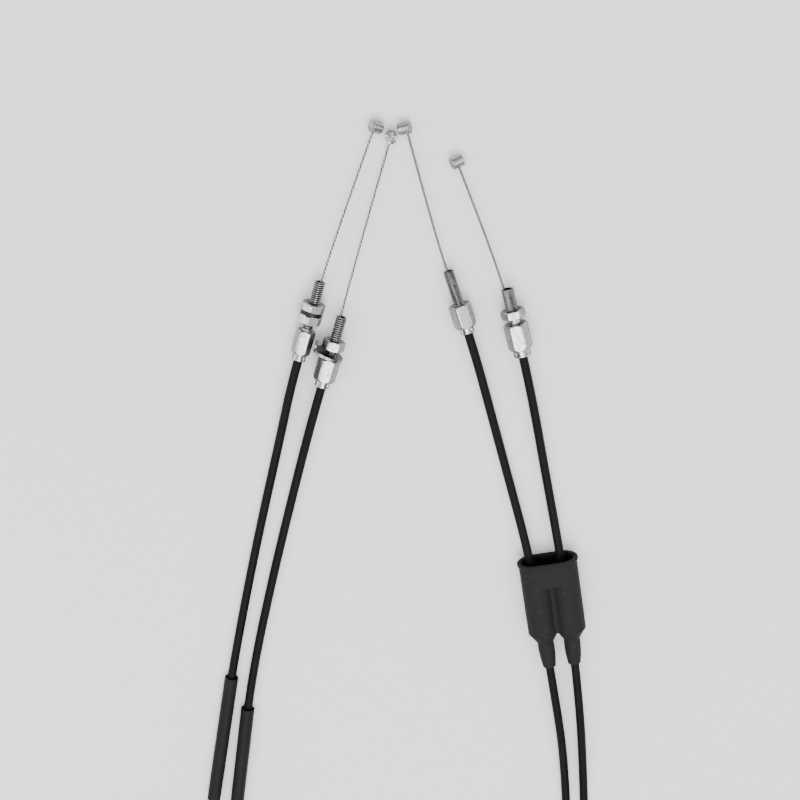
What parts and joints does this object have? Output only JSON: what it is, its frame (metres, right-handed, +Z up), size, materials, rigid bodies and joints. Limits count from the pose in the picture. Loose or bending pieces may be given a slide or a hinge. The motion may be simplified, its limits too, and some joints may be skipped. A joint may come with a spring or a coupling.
{
  "type": "throttle cable pair",
  "caption": "Motorcycle throttle cable pair: two black-sheathed Bowden cables with threaded end fittings, locknuts, barrel nipples, a twin rubber boot and loose sleeves.",
  "frame": {"origin": "Centre of the hard parts' footprint, on the surface that the cables lie on. Hard parts are everything but the cables themselves.", "axes": "+Z up from the surface, +Y from the loop of the cables towards the nipples, +X from the carburettor ends to the twist-grip ends."},
  "size_m": [0.2338, 0.5599, 0.0187],
  "materials": {
    "sheath": "black PVC extrusion with a soft sheen",
    "conduit": "spiral-wound steel strip, hidden",
    "liner": "white PTFE, hidden",
    "cable_wire": "bare stranded steel",
    "oiled_wire": "stranded steel, darker with grease",
    "sleeve": "dark grey plastic tube",
    "zinc_plate": "bright zinc plate, machined",
    "nut_plate": "bright zinc plate",
    "washer_plate": "zinc plate, duller on its face",
    "nipple_metal": "zinc alloy, soldered end",
    "boot_rubber": "matt moulded rubber",
    "washer_rubber": "matt black rubber"
  },
  "bodies": {
    "cables": {"pull_sheath": "sheath", "pull_conduit": "conduit", "pull_liner": "liner", "pull_core_wire": "cable_wire", "return_sheath": "sheath", "return_conduit": "conduit", "return_liner": "liner", "return_core_wire": "cable_wire", "pull_carb_fitting": "zinc_plate", "return_carb_fitting": "zinc_plate", "return_grip_fitting": "zinc_plate", "pull_grip_fitting": "zinc_plate"},
    "pull_carb_inner": {"pull_carb_nipple": "nipple_metal", "pull_carb_wire": "cable_wire"},
    "return_carb_inner": {"return_carb_nipple": "nipple_metal", "return_carb_wire": "cable_wire"},
    "return_grip_inner": {"return_grip_nipple": "nipple_metal", "return_grip_wire": "oiled_wire"},
    "pull_grip_inner": {"pull_grip_nipple": "nipple_metal", "pull_grip_wire": "oiled_wire"},
    "pull_carb_outer_nut": {"pull_carb_outer_locknut": "nut_plate"},
    "pull_carb_inner_nut": {"pull_carb_inner_locknut": "nut_plate", "pull_carb_rubber_washer": "washer_rubber"},
    "return_carb_nut": {"return_carb_locknut": "nut_plate"},
    "return_carb_washer": {"return_carb_tab_washer": "washer_plate"},
    "pull_grip_nut": {"pull_grip_locknut": "nut_plate"},
    "boot": {"grip_boot": "boot_rubber"},
    "pull_tube": {"pull_sleeve": "sleeve"},
    "return_tube": {"return_sleeve": "sleeve"}
  },
  "joints": [
    {"name": "pull_wire_grip_end", "type": "slide", "parent": "cables", "child": "pull_grip_inner", "axis": [-0.3746, 0.9272, 0], "range_m": [0, 0.03], "deforming": ["pull_grip_wire"]},
    {"name": "pull_wire_carb_end", "type": "slide", "parent": "cables", "child": "pull_carb_inner", "axis": [-0.3633, -0.9317, 0], "range_m": [0, 0.03], "deforming": ["pull_carb_wire"]},
    {"name": "return_wire_grip_end", "type": "slide", "parent": "cables", "child": "return_grip_inner", "axis": [-0.2857, 0.9583, 0], "range_m": [0, 0.03], "deforming": ["return_grip_wire"]},
    {"name": "return_wire_carb_end", "type": "slide", "parent": "cables", "child": "return_carb_inner", "axis": [-0.2672, -0.9636, 0], "range_m": [0, 0.03], "deforming": ["return_carb_wire"]},
    {"name": "pull_carb_outer_nut_travel", "type": "slide", "parent": "cables", "child": "pull_carb_outer_nut", "axis": [0.279, 0.9603, 0], "range_m": [0, 0.01]},
    {"name": "pull_carb_inner_nut_travel", "type": "slide", "parent": "cables", "child": "pull_carb_inner_nut", "axis": [0.279, 0.9603, 0], "range_m": [-0.0035, 0]},
    {"name": "return_carb_nut_travel", "type": "slide", "parent": "cables", "child": "return_carb_nut", "axis": [0.279, 0.9603, 0], "range_m": [-0.0018, 0.0115]},
    {"name": "return_carb_washer_play", "type": "slide", "parent": "cables", "child": "return_carb_washer", "axis": [0.279, 0.9603, 0], "range_m": [0, 0.0015]},
    {"name": "pull_grip_nut_travel", "type": "slide", "parent": "cables", "child": "pull_grip_nut", "axis": [-0.2419, 0.9703, 0], "range_m": [-0.0032, 0.01]},
    {"name": "boot_travel", "type": "slide", "parent": "cables", "child": "boot", "axis": [-0.1564, 0.9877, 0], "range_m": [-0.006, 0.008]},
    {"name": "pull_sleeve_travel", "type": "slide", "parent": "cables", "child": "pull_tube", "axis": [0.1616, 0.9869, 0], "range_m": [-0.008, 0.01]},
    {"name": "return_sleeve_travel", "type": "slide", "parent": "cables", "child": "return_tube", "axis": [0.1305, 0.9914, 0], "range_m": [-0.006, 0.01]}
  ],
  "couplings": [
    {"joint": "pull_wire_carb_end", "follows": "pull_wire_grip_end", "ratio": 1},
    {"joint": "return_wire_carb_end", "follows": "return_wire_grip_end", "ratio": 1}
  ]
}
